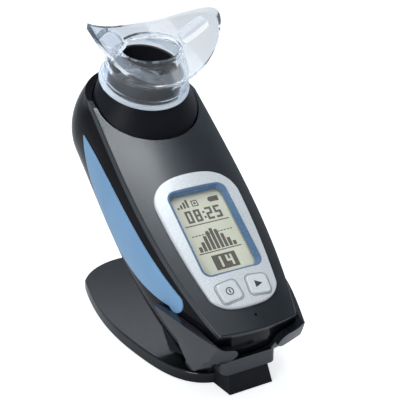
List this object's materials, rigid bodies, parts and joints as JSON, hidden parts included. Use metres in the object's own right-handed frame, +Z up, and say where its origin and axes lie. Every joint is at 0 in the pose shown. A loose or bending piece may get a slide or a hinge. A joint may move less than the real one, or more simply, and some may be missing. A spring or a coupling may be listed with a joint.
{
  "type": "inspiratory muscle trainer",
  "caption": "Handheld inspiratory muscle trainer with display, motor-driven valve head and clear mouthpiece, standing in its charging cradle.",
  "frame": {"origin": "on the surface the cradle stands on, under the middle of the whole object's width and depth", "axes": "+Z up, -Y towards the user who faces the display, +X to the user's right"},
  "size_m": [0.0624, 0.1386, 0.1386],
  "materials": {
    "base": "gloss moulded, charcoal black",
    "base_cover": "fine spark texture, black",
    "feet": "soft rubber, black",
    "base_screws": "zinc plated self-tapping screws",
    "ballast": "zinc plated steel plate",
    "charge_board": "green circuit board",
    "usb_socket": "drawn steel shell",
    "cradle_cup": "gloss moulded, charcoal black",
    "nose_block": "gloss moulded, charcoal black",
    "contact_barrels": "gold plated brass",
    "contact_pins": "gold plated brass",
    "front_panel": "satin pearl lacquer, blue-grey charcoal",
    "front_casing": "gloss moulded, black",
    "rear_casing": "gloss moulded, black",
    "grips": "soft-touch overmould, steel light blue",
    "bezel": "satin silver-white lacquer",
    "display_surround": "gloss blue",
    "display_window": "clear acrylic lens",
    "lcd_panel": "reflective liquid crystal, beige-grey",
    "lcd_holder": "white moulded frame",
    "key_mat": "grey silicone",
    "main_board": "green circuit board",
    "battery": "blue heat-shrink sleeve",
    "sounder": "black moulded can",
    "pressure_sensor": "black moulded package with port",
    "light_guide": "clear acrylic rod",
    "charge_contacts": "gold plated brass",
    "casing_screws": "zinc plated self-tapping screws",
    "motor": "drawn steel can",
    "motor_bracket": "black glass-filled nylon",
    "buttons": "satin silver-grey lacquer",
    "drive_shaft": "ground steel",
    "valve_head": "satin dark blue-black",
    "spigot": "satin black",
    "valve_seat": "dark grey acetal",
    "rotor_bush": "turned brass",
    "valve_cage": "satin black",
    "vent_grille": "satin dark grey",
    "vent_seat": "dark grey acetal",
    "flap_pin": "ground steel",
    "valve_rotor": "light grey acetal",
    "vent_flap": "translucent silicone",
    "mouthpiece": "clear soft silicone, light blue tint"
  },
  "bodies": {
    "cradle": {"base_plate": "base", "base_cover": "base_cover", "rubber_feet": "feet", "base_screws": "base_screws", "ballast_plate": "ballast", "charge_board": "charge_board", "usb_socket": "usb_socket", "cradle_cup": "cradle_cup", "nose_block": "nose_block", "contact_barrels": "contact_barrels"},
    "pin_left": {"contact_pin_left": "contact_pins"},
    "pin_right": {"contact_pin_right": "contact_pins"},
    "handset": {"front_panel": "front_panel", "front_casing": "front_casing", "rear_casing": "rear_casing", "grip_left": "grips", "grip_right": "grips", "display_bezel": "bezel", "display_surround": "display_surround", "display_window": "display_window", "lcd_panel": "lcd_panel", "lcd_holder": "lcd_holder", "key_mat": "key_mat", "main_board": "main_board", "battery_pack": "battery", "sounder": "sounder", "pressure_sensor": "pressure_sensor", "light_guide": "light_guide", "charge_contacts": "charge_contacts", "casing_screws": "casing_screws", "valve_motor": "motor", "motor_bracket": "motor_bracket"},
    "power_button": {"power_button": "buttons"},
    "play_button": {"play_button": "buttons"},
    "drive_shaft": {"drive_shaft": "drive_shaft"},
    "valve_head": {"valve_head_shell": "valve_head", "outlet_spigot": "spigot", "valve_seat": "valve_seat", "rotor_bush": "rotor_bush", "valve_cage": "valve_cage", "vent_grille": "vent_grille", "vent_seat": "vent_seat", "flap_pin": "flap_pin"},
    "valve_rotor": {"valve_rotor": "valve_rotor"},
    "vent_flap": {"vent_flap": "vent_flap"},
    "mouthpiece": {"mouthpiece": "mouthpiece"}
  },
  "joints": [
    {"name": "handset_lift", "type": "slide", "parent": "cradle", "child": "handset", "axis": [0, 0.8155, 0.5787], "range_m": [0, 0.06]},
    {"name": "head_pull", "type": "slide", "parent": "handset", "child": "valve_head", "axis": [0, -0.5787, 0.8155], "range_m": [0, 0.03]},
    {"name": "mouthpiece_pull", "type": "slide", "parent": "valve_head", "child": "mouthpiece", "axis": [0, -0.3901, 0.9208], "range_m": [0, 0.03]},
    {"name": "power_press", "type": "slide", "parent": "handset", "child": "power_button", "axis": [0, 0.5787, -0.8155], "range_m": [0, 0.0008], "stiffness_N_per_m": 400},
    {"name": "play_press", "type": "slide", "parent": "handset", "child": "play_button", "axis": [0, 0.5787, -0.8155], "range_m": [0, 0.0008], "stiffness_N_per_m": 400},
    {"name": "motor_turn", "type": "hinge", "parent": "handset", "child": "drive_shaft", "pos_m": [0, 0.03476, 0.09081], "axis": [0, -0.5787, 0.8155], "range_deg": [0, 90]},
    {"name": "rotor_turn", "type": "hinge", "parent": "valve_head", "child": "valve_rotor", "pos_m": [0, 0.03476, 0.09081], "axis": [0, -0.5787, 0.8155], "range_deg": [0, 90]},
    {"name": "flap_swing", "type": "hinge", "parent": "valve_head", "child": "vent_flap", "pos_m": [0, 0.04432, 0.1074], "axis": [1, 0, 0], "range_deg": [0, 25]},
    {"name": "pin_left_press", "type": "slide", "parent": "cradle", "child": "pin_left", "axis": [0, -0.8155, -0.5787], "range_m": [0, 0.001], "stiffness_N_per_m": 200},
    {"name": "pin_right_press", "type": "slide", "parent": "cradle", "child": "pin_right", "axis": [0, -0.8155, -0.5787], "range_m": [0, 0.001], "stiffness_N_per_m": 200}
  ],
  "couplings": [
    {"joint": "motor_turn", "follows": "rotor_turn", "ratio": 1}
  ]
}
